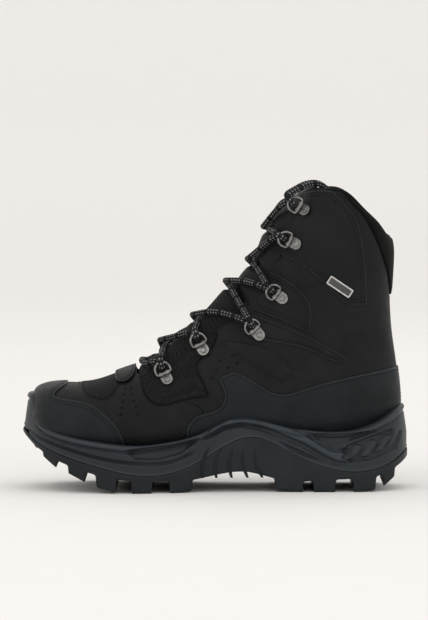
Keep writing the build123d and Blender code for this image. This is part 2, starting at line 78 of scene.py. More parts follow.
soft_light("key", (-0.7, -1.3, 1.7), 1.0, 2.4)
soft_light("top", (0.3, 0.2, 1.9), 1.3, 1.0)
soft_light("fill", (1.4, -1.3, 0.9), 0.9, 1.6)
soft_light("back", (0.6, 1.6, 1.3), 1.2, 1.4)

world = bpy.data.worlds.new("studio")
world.use_nodes = True
world.node_tree.nodes["Background"].inputs[0].default_value = (1, 0.985, 0.96, 1)
world.node_tree.nodes["Background"].inputs[1].default_value = 1.02
bpy.context.scene.world = world


# ---- Materials ----------------------------------------------------------------------------------
class Shade:
    """A material under construction: helpers that add nodes and link them."""

    def __init__(self, name):
        self.material = bpy.data.materials.new(name)
        self.material.use_nodes = True
        self.tree = self.material.node_tree
        self.shader = self.tree.nodes["Principled BSDF"]
        self.place = self.add("ShaderNodeTexCoord").outputs["Object"]

    def add(self, kind, inputs=(), **settings):
        node = self.tree.nodes.new(kind)
        for key, value in settings.items():
            setattr(node, key, value)
        for key, value in dict(inputs).items():
            self.put(node.inputs[key], value)
        return node

    def put(self, socket, value):
        if isinstance(value, bpy.types.NodeSocket):
            self.tree.links.new(value, socket)
        else:
            socket.default_value = value

    def noise(self, scale, detail=3, vector=None):
        node = self.add("ShaderNodeTexNoise", {"Vector": vector or self.place, "Scale": scale, "Detail": detail})
        return node.outputs["Fac"]

    def cells(self, scale):
        node = self.add("ShaderNodeTexVoronoi", {"Vector": self.place, "Scale": scale})
        return node.outputs["Distance"]

    def ramp(self, value, low, high, to_low=0.0, to_high=1.0):
        inputs = {"Value": value, "From Min": low, "From Max": high, "To Min": to_low, "To Max": to_high}
        return self.add("ShaderNodeMapRange", inputs).outputs["Result"]

    def math(self, operation, a, b):
        return self.add("ShaderNodeMath", {0: a, 1: b}, operation=operation).outputs[0]

    def mix(self, share, a, b):
        node = self.add("ShaderNodeMix", data_type="RGBA")
        self.put(node.inputs["Factor"], share)
        self.put(node.inputs[6], a)
        self.put(node.inputs[7], b)
        return node.outputs[2]

    def tag(self, name):
        return self.add("ShaderNodeAttribute", attribute_name=name).outputs["Fac"]

    def bump(self, height, strength, distance, normal=None):
        inputs = {"Height": height, "Strength": strength, "Distance": distance}
        node = self.add("ShaderNodeBump", inputs)
        if normal is not None:
            self.put(node.inputs["Normal"], normal)
        return node.outputs["Normal"]

    def set(self, **inputs):
        for key, value in inputs.items():
            self.put(self.shader.inputs[key.replace("_", " ")], value)
        return self.material


def grey(level, blue=0.0):
    """A linear colour near grey, a little bluer or warmer."""
    return (level * (1 - blue), level, level * (1 + blue), 1)


def leather(name, dark, light, blue, rough, grain, wear_and_painted_highlight=0.09):
    """Coated leather: pebbled grain, soft mottling, and edges lighter from rubbing and from a painted highlight on
    their rolled rims.
    """
    shade = Shade(name)
    tone = shade.mix(shade.ramp(shade.noise(38, 4), 0.35, 0.68), grey(dark, blue), grey(light, blue))
    # Edges within the tagged rim turn lighter: partly rubbed wear, partly a painted highlight on the rolled edge.
    worn_and_highlit_edges = shade.math("MULTIPLY", shade.tag("wear_and_painted_highlight"), shade.ramp(shade.noise(160, 3), 0.3, 0.7, 0.35, 1))
    tone = shade.mix(worn_and_highlit_edges, tone, grey(wear_and_painted_highlight, blue))
    pebbles = shade.bump(shade.cells(grain), 0.35, 0.0004)
    creases = shade.bump(shade.noise(grain * 0.35, 5), 0.25, 0.0006, pebbles)
    roughness = shade.ramp(shade.noise(90, 3), 0.3, 0.7, rough - 0.06, rough + 0.08)
    return shade.set(Base_Color=tone, Roughness=roughness, Normal=creases, Specular_IOR_Level=0.17)


def textile(name, dark, light, blue, rough=0.85, fuzz=1400):
    """Woven or knitted cloth: the tone tag darkens the gaps between its yarns, a painted shade."""
    shade = Shade(name)
    yarn = shade.mix(shade.ramp(shade.tag("tone"), 0, 1), grey(dark, blue), grey(light, blue))
    yarn = shade.mix(shade.ramp(shade.noise(fuzz, 2), 0.3, 0.8, 0, 0.35), yarn, grey(light * 1.5, blue))
    normal = shade.bump(shade.noise(fuzz, 3), 0.5, 0.0003)
    return shade.set(Base_Color=yarn, Roughness=rough, Normal=normal, Sheen_Weight=0.03, Specular_IOR_Level=0.12)


def rubber(name, dark, light, blue, rough, speck=0.3, gloss=0.25):
    """Moulded rubber or foam: fine mottling and a faint texture from the mould."""
    shade = Shade(name)
    tone = shade.mix(shade.ramp(shade.noise(26, 4), 0.35, 0.7), grey(dark, blue), grey(light, blue))
    # Lighter where the piece's tag is high: on the midsole, a painted highlight on the parts that stand out and along
    # the lip.
    tone = shade.mix(shade.math("MULTIPLY", shade.tag("wear_and_painted_highlight"), 0.6), tone, grey(light * 1.9, blue))
    normal = shade.bump(shade.noise(900, 3), speck, 0.0002)
    roughness = shade.ramp(shade.noise(60, 3), 0.3, 0.7, rough - 0.05, rough + 0.1)
    return shade.set(Base_Color=tone, Roughness=roughness, Normal=normal, Specular_IOR_Level=gloss)


def metal(name, dark, light, rough):
    """Plated wire and plate: brushed, darker in patches."""
    shade = Shade(name)
    tone = shade.mix(shade.ramp(shade.noise(320, 4), 0.3, 0.7), grey(dark, -0.03), grey(light, -0.02))
    roughness = shade.ramp(shade.noise(700, 3), 0.3, 0.7, rough - 0.08, rough + 0.1)
    normal = shade.bump(shade.noise(1500, 2), 0.15, 0.0001)
    return shade.set(Base_Color=tone, Roughness=roughness, Normal=normal, Metallic=1.0)


BASE_LEATHER = leather("base_leather", 0.0035, 0.0068, 0.1, 0.54, 760, 0.022)
SMOOTH_LEATHER = leather("smooth_leather", 0.0085, 0.0140, 0.17, 0.46, 980, 0.04)
STRAP_LEATHER = leather("strap_leather", 0.0048, 0.0085, 0.12, 0.5, 860, 0.03)
MESH_CLOTH = textile("mesh_cloth", 0.001, 0.014, 0.05)
COLLAR_CLOTH = textile("collar_cloth", 0.002, 0.006, 0.0, 0.9, 1000)
LINING_CLOTH = textile("lining_cloth", 0.010, 0.022, 0.02, 0.92, 1200)
FOOTBED_CLOTH = textile("footbed_cloth", 0.014, 0.03, 0.02, 0.9, 900)
THREAD = textile("thread", 0.0015, 0.004, 0.03, 0.7, 3000)
MIDSOLE_FOAM = rubber("midsole_foam", 0.0165, 0.027, 0.22, 0.40)
OUTSOLE_RUBBER = rubber("outsole_rubber", 0.008, 0.014, 0.22, 0.46)
HARDWARE = metal("hardware", 0.16, 0.30, 0.30)
BADGE_METAL = metal("badge_metal", 0.42, 0.62, 0.28)
BADGE_ENAMEL = rubber("badge_enamel", 0.05, 0.08, 0.02, 0.3)
AGLET_PLASTIC = rubber("aglet_plastic", 0.01, 0.02, 0, 0.3)
STIFF_BOARD = textile("stiff_board", 0.06, 0.12, -0.1, 0.9)
PAD_FOAM = textile("pad_foam", 0.05, 0.09, 0.0, 0.95)
STUDIO = rubber("studio", 0.855, 0.862, -0.016, 0.9, 0.0, 0.0)

lace_shade = Shade("lace_cord")
# Darker where the braid lies low between its strands: painted shade. The light flecks are the cord's own dots.
cord_tone = lace_shade.mix(lace_shade.ramp(lace_shade.tag("tone"), 0.2, 0.9), grey(0.003), grey(0.012, 0.03))
cord_tone = lace_shade.mix(lace_shade.tag("fleck"), cord_tone, grey(0.26, 0.02))
LACE_CORD = lace_shade.set(
    Base_Color=cord_tone,
    Roughness=lace_shade.ramp(lace_shade.noise(2000, 2), 0.3, 0.7, 0.6, 0.85),
    Normal=lace_shade.bump(lace_shade.noise(3500, 2), 0.4, 0.0002),
    Specular_IOR_Level=0.15,
)


# ---- Meshes -------------------------------------------------------------------------------------
def solid(name, points, faces, material, replaces=(), smooth=True, body="boot", tags=None):
    """A mesh piece from points in millimetres, which rides on a CAD body."""
    mesh = bpy.data.meshes.new(name)
    mesh.from_pydata((np.asarray(points) * MM).tolist(), [], [list(map(int, face)) for face in faces])
    mesh.materials.append(material)
    mesh.polygons.foreach_set("use_smooth", np.full(len(mesh.polygons), smooth))
    for tag, values in (tags or {}).items():
        layer = mesh.attributes.new(tag, "FLOAT", "POINT")
        layer.data.foreach_set("value", np.asarray(values, np.float32))
    mesh.validate()
    piece = bpy.data.objects.new(name, mesh)
    bpy.context.collection.objects.link(piece)
    if body:
        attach(piece, body)
    if replaces:
        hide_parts(*replaces)
    return piece


def tube(centres, rings, closed=False):
    """Faces of a tube whose rings of equally many points follow each other, with flat ends."""
    faces = []
    for i in range(centres - (0 if closed else 1)):
        a = i * rings
        b = (i + 1) % centres * rings
        for j in range(rings):
            k = (j + 1) % rings
            faces.append((a + j, a + k, b + k, b + j))
    if not closed:
        faces.append(range(rings - 1, -1, -1))
        faces.append(range((centres - 1) * rings, centres * rings))
    return faces


# Backdrop: floor and wall in one sweep.
sweep = [(-6, 0), (3.6, 0), (4.1, 0.06), (4.5, 0.3), (4.8, 0.8), (4.9, 1.6), (4.9, 5)]
sweep_points = [(x * 1000, y * 1000, z * 1000) for y, z in sweep for x in (-7, 7)]
backdrop = solid(
    "backdrop", sweep_points, [(2 * i, 2 * i + 1, 2 * i + 3, 2 * i + 2) for i in range(len(sweep) - 1)],
    STUDIO, body=None
)


# ---- Lace ---------------------------------------------------------------------------------------
LACE_HALF_1 = [
    (-58, -11, 101), (-54, -27, 99), (-46, -34.5, 103), (-43, -34, 97.5),
    (-41, -42.5, 98), (-43.5, -43, 105.5), (-41, -23, 108.5), (-40, -6, 113),
    (-39, 6, 113.5), (-30, 17, 120), (-18.5, 28.5, 125.5), (-15, 28, 120),
    (-13, 36, 120), (-16.5, 37.5, 127), (-14, 21, 131), (-18, 6, 136.5),
    (-17.5, -6.5, 137.5), (-1, -22, 141.5), (22, -36, 135.5), (26, -33, 131.5),
    (30, -40.5, 130), (26, -44, 136), (16.5, -24.5, 152), (11.5, -6, 160),
    (12.5, 6, 159.5), (23, 20, 164), (37.5, 31.5, 161), (42.5, 29, 158),
    (46, 36.5, 157), (40.5, 40, 161.5), (35, 22, 172), (25.5, 7, 181),
    (26, -7, 181.5), (37, -18, 191.5), (47, -30, 200.5), (52.5, -28.5, 198.5),
    (54.5, -37, 198.5), (48, -39, 202), (45, -22, 204.5), (42, -6, 204.5),
    (43, 5.5, 205), (48, 14, 219), (55.5, 24, 227.5), (61, 24.5, 225),
    (61.5, 32.5, 226.5), (55.5, 32, 231), (64, 28.5, 236), (72, 24.5, 240.5),
    (81.5, 18.5, 241.5), (89, 14, 236.5), (92, 12, 226), (93, 11, 212),
]
LACE_HALF_2 = [
    (-58, 11, 101), (-54, 27, 99), (-46, 34.5, 103), (-43, 34, 97.5),
    (-41, 42.5, 98), (-43.5, 43, 105.5), (-41, 23, 109), (-43.8, 5.5, 116.4),
    (-43.3, -5.5, 117.3), (-31, -17, 121), (-18.5, -28.5, 125.5), (-15, -28, 120),
    (-13, -36, 120), (-16.5, -37.5, 127), (-14, -21, 130.5), (-15, -5.5, 132),
    (-14, 5.5, 132.5), (-1, 21, 141), (22, 36, 135.5), (26, 33, 131.5),
    (30, 40.5, 130), (26, 44, 136), (18, 26, 151), (8, 7, 163.5),
    (8.5, -7, 164.5), (23, -20, 165), (37.5, -31.5, 161), (42.5, -29, 158),
    (46, -36.5, 157), (40.5, -40, 161.5), (35, -22.5, 172), (30, -6, 178),
    (31, 6, 178.5), (37, 18, 191), (47, 30, 200.5), (52.5, 28.5, 198.5),
    (54.5, 37, 198.5), (48, 39, 202), (45, 22, 205), (38, 6.5, 206.5),
    (38.5, -6.5, 207.5), (47.5, -14, 219.5), (55.5, -24, 227.5), (61, -24.5, 225),
    (61.5, -32.5, 226.5), (55.5, -32, 231), (64, -28.5, 236), (72, -24.5, 240.5),
    (81.5, -18.5, 241.5), (89, -14, 236.5), (92, -12, 226), (93, -11, 212),
]
LACE_DIAMETER = 4.6
BRAID_PITCH = 2.6  # from one crossing of two strands to the next

route = [*reversed(LACE_HALF_2), *LACE_HALF_1]
curve = bpy.data.curves.new("lace_route", "CURVE")
curve.dimensions = "3D"
curve.resolution_u = 12
line = curve.splines.new("NURBS")
line.points.add(len(route) - 1)
for control, (x, y, z) in zip(line.points, route):
    control.co = (x * MM, y * MM, z * MM, 1)
line.order_u = 3
line.use_endpoint_u = True
carrier = bpy.data.objects.new("lace_route", curve)
bpy.context.collection.objects.link(carrier)
bpy.context.view_layer.update()
followed = bpy.data.meshes.new_from_object(carrier)
lace_line = np.array([vertex.co for vertex in followed.vertices]) / MM
bpy.data.objects.remove(carrier)


def evenly(points, step, closed=False):
    """Points at even distances along a polyline, and nothing else changed."""
    points = np.asarray(points, float)
    if closed:
        points = np.vstack([points, points[:1]])
    far = np.concatenate([[0], np.cumsum(np.linalg.norm(np.diff(points, axis=0), axis=1))])
    count = max(int(round(far[-1] / step)), 3)
    at = np.linspace(0, far[-1], count + 1)
    even = np.stack([np.interp(at, far, points[:, i]) for i in range(points.shape[1])], axis=1)
    return even[:-1] if closed else even


def carried_frames(points):
    """Unit tangents and two cross directions along a line, turned as little as possible."""
    tangents = np.gradient(points, axis=0)
    tangents /= np.linalg.norm(tangents, axis=1)[:, None]
    side = np.cross(tangents[0], (0, 0, 1))
    side /= np.linalg.norm(side)
    sides = []
    for tangent in tangents:
        side = side - tangent * (side @ tangent)
        side /= np.linalg.norm(side)
        sides.append(side)
    sides = np.array(sides)
    return tangents, sides, np.cross(tangents, sides)


def braid(name, path, diameter, material, replaces):
    """A round braided cord: two sets of strands wind against each other."""
    spine = evenly(path, 0.45)
    tangents, sides, ups = carried_frames(spine)
    around = 36
    angle = np.arange(around) * 2 * pi / around
    along = np.arange(len(spine))[:, None] * 0.45
    right = 3 * angle[None, :] + along * pi / BRAID_PITCH
    left = 3 * angle[None, :] - along * pi / BRAID_PITCH
    lift = np.abs(np.sin(right) * np.sin(left)) ** 0.6
    row, column = np.floor(right / pi).astype(int), np.floor(left / pi).astype(int)
    spots = (row + column) % 2 == 0
    spots &= (row * 7 + column * 13) % 5 != 0
    fleck = np.where(spots, 1.0, 0.0) * np.clip((lift - 0.6) * 4, 0, 1)
    radius = diameter / 2 * (0.93 + 0.09 * lift)
    points = (
        spine[:, None, :]
        + radius[..., None] * np.cos(angle)[None, :, None] * sides[:, None, :]
        + radius[..., None] * np.sin(angle)[None, :, None] * ups[:, None, :]
    )
    return solid(
        name, points.reshape(-1, 3), tube(len(spine), around), material, replaces,
        tags={"tone": lift.ravel(), "fleck": fleck.ravel()},
    )


lace = braid("lace_braid", lace_line, LACE_DIAMETER, LACE_CORD, ["lace"])
NODES["aglets"].data.materials.clear()
NODES["aglets"].data.materials.append(AGLET_PLASTIC)


# ---- The chart of the upper ---------------------------------------------------------------------
# Ridge x and z, heel x and z, half width, shift to the medial side, fullness, share of an inset at the toe.
SECTIONS = np.array([
    (-145.2, 66, -145.6, 48, 7, 3, 0.55, 1), (-142.5, 78, -144, 42, 24, 3, 0.60, 0.95),
    (-135, 82.5, -138, 36, 36, 2, 0.66, 0.6), (-120, 84.6, -123, 28, 45, 1, 0.70, 0.2),
    (-98, 85.5, -100, 22, 50, 0, 0.70, 0), (-72, 94, -70, 18, 51, 0, 0.66, 0),
    (-48, 103, -38, 16, 47, 0, 0.62, 0), (-27, 121.5, 0, 14, 42, 0, 0.60, 0),
    (-8, 138.5, 45, 14, 39.5, 0, 0.59, 0), (8, 156.5, 98, 18, 38, 0, 0.58, 0),
    (22, 170, 142, 42, 37, 0, 0.58, 0), (31, 181, 146.4, 84, 36, 0, 0.58, 0),
    (36, 194, 141, 125, 36, 0, 0.58, 0), (42, 207, 139.6, 160, 37, 0, 0.58, 0),
    (52, 221, 140.6, 192, 38.5, 0, 0.58, 0), (66, 233, 139.6, 222, 40, 0, 0.58, 0),
    (76, 246, 138.6, 246, 41, 0, 0.58, 0),
])
LAST = len(SECTIONS) - 1
THROAT = [(-66, 91), (-42, 97.5), (-14, 119.5), (8, 137), (26, 152), (40, 170), (50, 196), (59, 218), (70, 244)]
COLLAR = [(57, 229), (72, 235), (84.5, 236.4), (97, 235.4), (116, 221), (130, 208.6), (139.5, 197), (152, 186)]
SOLE_TOP = [
    (-156, 76), (-148.5, 74.6), (-145.6, 66), (-142, 56.5), (-126.9, 47.6), (-90.5, 39.9), (-60, 37.3),
    (-36.1, 39.9), (-8.9, 47.2),
    (7.3, 56.2), (25, 59), (52.4, 52.1), (80, 48), (109.8, 48.4), (134.9, 56.6), (156, 70),
]


def spline(knots, rows):
    """A function for the natural cubic spline through these rows."""
    knots = np.asarray(knots, float)
    rows = np.asarray(rows, float)
    h = np.diff(knots)
    n = len(knots)
    system = np.zeros((n, n))
    right = np.zeros(rows.shape)
    system[0, 0] = system[-1, -1] = 1
    for i in range(1, n - 1):
        system[i, i - 1 : i + 2] = h[i - 1], 2 * (h[i - 1] + h[i]), h[i]
        right[i] = 6 * ((rows[i + 1] - rows[i]) / h[i] - (rows[i] - rows[i - 1]) / h[i - 1])
    bend = np.linalg.solve(system, right)

    def value(u):
        u = np.clip(np.asarray(u, float), knots[0], knots[-1])
        k = np.clip(np.searchsorted(knots, u) - 1, 0, n - 2)
        a = ((knots[k + 1] - u) / h[k])[..., None]
        b = ((u - knots[k]) / h[k])[..., None]
        cubic = (a**3 - a) * bend[k] + (b**3 - b) * bend[k + 1]
        return a * rows[k] + b * rows[k + 1] + cubic * (h[k] ** 2)[..., None] / 6

    return value


def through(points, step=0.8):
    """A smooth line through points, at even distances."""
    points = np.asarray(points, float)
    if len(points) < 3:
        return evenly(points, step)
    knots = np.concatenate([[0], np.cumsum(np.linalg.norm(np.diff(points, axis=0), axis=1))])
    return evenly(spline(knots, points)(np.linspace(0, knots[-1], 40 * len(points))), step)


moves = np.diff(SECTIONS, axis=0)
middles = (SECTIONS[:, 0:2] + SECTIONS[:, 2:4]) / 2
gaps = (
    np.hypot(moves[:, 0], moves[:, 1]) + np.hypot(moves[:, 2], moves[:, 3])
    + 2 * np.hypot(np.linalg.norm(np.diff(middles, axis=0), axis=1), moves[:, 4])
) / 4
CHORD = np.concatenate([[0], np.cumsum(gaps)])
FORM = spline(CHORD, SECTIONS)


def surface(s, t, inset=0.0):
    """Points of the upper at chart places, this far inside its outermost surface."""
    s = np.asarray(s, float)
    t = (np.asarray(t, float) + 1) % 2 - 1
    inset = np.broadcast_to(np.asarray(inset, float), s.shape)
    form = FORM(np.interp(s, np.arange(LAST + 1), CHORD))
    rx, rz, hx, hz, half, shift, full, toe = np.moveaxis(form, -1, 0)
    toe = np.where(s < 4, toe, 0)
    length = np.hypot(hx - rx, hz - rz)
    ux, uz = (hx - rx) / length, (hz - rz) / length
    near = inset * np.clip(0.5 + s / 2, 0.5, 1)
    middle = length / 2
    far = length - near
    wide = half - near
    bow = (middle - near) * full
    side = wide * full
    q = np.abs(t) * 2
    front = q <= 1
    v = np.where(front, q, q - 1)
    weights = ((1 - v) ** 3, 3 * v * (1 - v) ** 2, 3 * v**2 * (1 - v), v**3)
    along = (
        weights[0] * np.where(front, near, middle) + weights[1] * np.where(front, near, middle + bow)
        + weights[2] * np.where(front, middle - bow, far) + weights[3] * np.where(front, middle, far)
    )
    across = (
        weights[0] * np.where(front, 0, wide) + weights[1] * np.where(front, side, wide)
        + weights[2] * np.where(front, wide, side) + weights[3] * np.where(front, wide, 0)
    )
    y = shift + np.where(t < 0, -across, across)
    return np.stack([rx + inset * toe + along * ux, y, rz + along * uz], axis=-1)


def slopes(place, inset=0.0):
    """The surface's points and its two derivatives at chart places."""
    s, t = place[:, 0], place[:, 1]
    inside = np.clip(s, 0.02, LAST - 0.02)
    ds = (surface(inside + 0.02, t, inset) - surface(inside - 0.02, t, inset)) / 0.04
    dt = (surface(s, t + 0.002, inset) - surface(s, t - 0.002, inset)) / 0.004
    return surface(s, t, inset), ds, dt


def outward(place):
    """Unit normals of the upper at chart places, away from its inside."""
    _, ds, dt = slopes(place)
    normal = -np.cross(ds, dt)
    return normal / np.linalg.norm(normal, axis=1)[:, None]


table_grids = np.meshgrid(np.linspace(0, LAST, 401), np.linspace(0, 1, 141), indexing="ij")
TABLE_S, TABLE_T = (grid.ravel() for grid in table_grids)
TABLES = {}
for hand in (-1, 1):
    seen = surface(TABLE_S, TABLE_T * hand)
    tree = KDTree(len(seen))
    for number, (x, _, z) in enumerate(seen):
        tree.insert((x, 0, z), number)
    tree.balance()
    TABLES[hand] = tree


def chart(points, hand):
    """Chart places of points given in X and Z, on the lateral (-1) or the medial (1) side."""
    points = np.asarray(points, float)
    nearest = np.array([TABLES[hand].find((x, 0, z))[1] for x, z in points])
    place = np.stack([TABLE_S[nearest], TABLE_T[nearest] * hand], axis=1)
    for _ in range(3):
        here, ds, dt = slopes(place)
        a, b, c, d = ds[:, 0], dt[:, 0], ds[:, 2], dt[:, 2]
        ex, ez = points[:, 0] - here[:, 0], points[:, 1] - here[:, 2]
        damp = 1e-3
        m11, m12, m22 = a * a + c * c + damp, a * b + c * d, b * b + d * d + 1
        g1, g2 = a * ex + c * ez, b * ex + d * ez
        det = m11 * m22 - m12 * m12
        move_s = np.clip((m22 * g1 - m12 * g2) / det, -0.1, 0.1)
        move_t = np.clip((m11 * g2 - m12 * g1) / det, -0.02, 0.02)
        place[:, 0] = np.clip(place[:, 0] + move_s, 0, LAST)
        place[:, 1] = hand * np.clip(hand * (place[:, 1] + move_t), 0, 1)
    return place


def outline(*runs):
    """A closed outline in X and Z from smooth runs joined by straight lines."""
    points = np.vstack([through(run, 0.8) for run in runs])
    return evenly(points, 0.8, closed=True)


def loop(place, step=1.3, rounds=3):
    """A closed ring of chart places, evenly spaced on the surface, with its corners rounded."""
    place = np.asarray(place, float)
    closed = np.vstack([place, place[:1]])
    solid_points = surface(closed[:, 0], closed[:, 1])
    far = np.concatenate([[0], np.cumsum(np.linalg.norm(np.diff(solid_points, axis=0), axis=1))])
    at = np.linspace(0, far[-1], max(int(far[-1] / step), 12) + 1)[:-1]
    ring = np.stack([np.interp(at, far, closed[:, 0]), np.interp(at, far, closed[:, 1])], axis=1)
    for _ in range(rounds):
        ring = (np.roll(ring, 1, 0) + 2 * ring + np.roll(ring, -1, 0)) / 4
    area = np.sum(ring[:, 0] * np.roll(ring[:, 1], -1) - np.roll(ring[:, 0], -1) * ring[:, 1])
    return ring if area > 0 else ring[::-1]


def moved_in(ring, distance):
    """A closed counter-clockwise ring moved in along the surface, in small smoothed steps."""
    steps = max(int(abs(distance) / 0.5 + 0.999), 1)
    for _ in range(steps):
        _, ds, dt = slopes(ring)
        here = surface(ring[:, 0], ring[:, 1])
        along = np.roll(here, -1, 0) - np.roll(here, 1, 0)
        into = np.cross(np.cross(ds, dt), along)
        into *= (distance / steps) / np.linalg.norm(into, axis=1)[:, None]
        m11, m12, m22 = (ds * ds).sum(1), (ds * dt).sum(1), (dt * dt).sum(1)
        g1, g2 = (ds * into).sum(1), (dt * into).sum(1)
        det = m11 * m22 - m12 * m12 + 1e-9
        ring = ring + np.stack([(m22 * g1 - m12 * g2) / det, (m11 * g2 - m12 * g1) / det], axis=1)
        ring = (np.roll(ring, 1, 0) + 6 * ring + np.roll(ring, -1, 0)) / 8
    return ring


def inside(points, ring):
    """Which chart places lie inside a closed ring."""
    x, y = points[:, 0][:, None], points[:, 1][:, None]
    ax, ay = ring[:, 0][None], ring[:, 1][None]
    bx, by = np.roll(ring[:, 0], -1)[None], np.roll(ring[:, 1], -1)[None]
    crosses = (ay > y) != (by > y)
    with np.errstate(divide="ignore", invalid="ignore"):
        at = (bx - ax) * (y - ay) / (by - ay) + ax
    return (crosses & (x < at)).sum(1) % 2 == 1


def filled(ring, step, extra=()):
    """Chart places inside a ring, about a step apart, clear of the ring and of the extra places."""
    low, high = ring.min(0), ring.max(0)
    mid = (low + high) / 2
    _, ds, dt = slopes(np.array([mid]))
    s_count = int((high[0] - low[0]) * np.linalg.norm(ds[0]) / step) + 2
    t_count = int((high[1] - low[1]) * np.linalg.norm(dt[0]) / step) + 2
    s, t = np.meshgrid(np.linspace(low[0], high[0], s_count), np.linspace(low[1], high[1], t_count), indexing="ij")
    s = s + (np.arange(t_count) % 2)[None, :] * 0.5 * (high[0] - low[0]) / s_count
    places = np.stack([s.ravel(), t.ravel()], axis=1)
    places = places[inside(places, ring)]
    here = surface(places[:, 0], places[:, 1])
    rim = surface(ring[:, 0], ring[:, 1])
    if len(extra):
        rim = np.vstack([rim, surface(extra[:, 0], extra[:, 1])])
    tree = KDTree(len(rim))
    for number, point in enumerate(rim):
        tree.insert(point, number)
    tree.balance()
    gap = np.array([tree.find(point)[2] for point in here]) if len(here) else np.zeros(0)
    return places[gap > min(0.6 * step, 0.9)]


# A rim is a list of (distance in from the edge, height over the panel's surface).
CUT_RIM = [(0, -0.5), (0.15, -0.18), (0.45, -0.03), (1.0, 0)]
SEWN_RIM = CUT_RIM + [(1.7, 0), (2.1, -0.2), (2.5, 0)]
TWICE_SEWN_RIM = SEWN_RIM + [(4.2, 0), (4.6, -0.2), (5.0, 0)]
SOFT_RIM = [(0, -1.0), (0.3, -0.45), (0.8, -0.15), (1.6, 0)]


def panel(name, ring, outer, inner, material, rim=CUT_RIM, step=2.6, relief=None, pits=(), replaces=()):
    """A closed piece between two insets of the upper, with a shaped rim and its own relief.

    relief takes the points and their distance from the edge, and gives heights; pits are chart places
    of small holes."""
    rings = [ring]
    for (before, _), (after, _) in zip(rim, rim[1:]):
        rings.append(moved_in(rings[-1], after - before))
    inner_ring = rings[-1]
    pit_places, pit_depths = [], []
    for pit in pits:
        _, ds, dt = slopes(np.array([pit]))
        for radius, depth in ((1.25, 0), (0.95, 0.15), (0.8, 0.9), (0.3, 1.0)):
            for k in range(12):
                angle = 2 * pi * k / 12
                pit_places.append((
                    pit[0] + radius * cos(angle) / np.linalg.norm(ds),
                    pit[1] + radius * sin(angle) / np.linalg.norm(dt),
                ))
                pit_depths.append(depth)
    pit_places = np.array(pit_places).reshape(-1, 2)
    fill = filled(inner_ring, step, pit_places)
    flat = np.vstack([inner_ring, pit_places, fill])
    count = len(inner_ring)
    edges = [(i, (i + 1) % count) for i in range(count)]
    scale = np.array([14.0, 90.0])
    out_points, _, triangles, origins, _, _ = delaunay_2d_cdt([Vector(p) for p in flat * scale], edges, [], 1, 1e-4)
    chart_points = np.array([tuple(p) for p in out_points]) / scale
    heights = np.zeros(len(chart_points))
    of_ring = {}
    for number, found in enumerate(origins):
        for origin in found:
            if origin < count:
                of_ring[origin] = number
            elif origin < count + len(pit_places):
                heights[number] = -pit_depths[origin - count]
    places = np.vstack([*rings[:-1], chart_points])
    lift = np.concatenate([np.full(len(ring), high) for _, high in rim[:-1]] + [heights + rim[-1][1]])
    rim_distances = [np.full(len(ring), far) for far, _ in rim[:-1]]
    distance = np.concatenate([*rim_distances, np.full(len(chart_points), rim[-1][0])])
    base = len(ring) * (len(rings) - 1)
    last = [base + of_ring.get(i, of_ring.get(i - 1, 0)) for i in range(count)]
    faces = []
    for k in range(len(rings) - 1):
        for i in range(count):
            j = (i + 1) % count
            a, b = k * count + i, k * count + j
            if k + 1 < len(rings) - 1:
                faces.append((a, b, b + count, a + count))
            elif last[i] == last[j]:
                faces.append((a, b, last[i]))
            else:
                faces.append((a, b, last[j], last[i]))
    faces.extend(tuple(base + corner for corner in triangle) for triangle in triangles)
    tops = surface(places[:, 0], places[:, 1], outer)
    if relief is not None:
        tree = KDTree(count)
        for number, point in enumerate(surface(ring[:, 0], ring[:, 1], outer)):
            tree.insert(point, number)
        tree.balance()
        away = np.array([tree.find(point)[2] for point in tops[base:]])
        gained, tone = relief(tops[base:], away)
        lift[base:] += gained
    else:
        tone = np.zeros(len(chart_points))
    # Tone 0 on the rim rows and the relief's tone inside: cloth is darker where this is low, painted shade in the gaps
    # of its weave and on its rounded rim.
    painted_light_tones = np.concatenate([np.zeros(base), tone])
    tops = surface(places[:, 0], places[:, 1], outer - lift)
    bottoms = surface(places[:, 0], places[:, 1], inner)
    total = len(places)
    faces = [tuple(reversed(face)) for face in faces]
    under = [tuple(total + corner for corner in reversed(face)) for face in faces]
    wall = [(i, (i + 1) % count, total + (i + 1) % count, total + i) for i in range(count)]
    # Lighter rim within 1.2 mm of the edge: worn leather and a painted highlight where the edge rolls over.
    wear_and_painted_highlight = np.exp(-distance / 0.5) * (distance < 1.2)
    return solid(
        name, np.vstack([tops, bottoms]), faces + under + wall, material, replaces,
        tags={"wear_and_painted_highlight": np.concatenate([wear_and_painted_highlight, np.zeros(total)]), "tone": np.concatenate([painted_light_tones, np.zeros(total)])},
    )


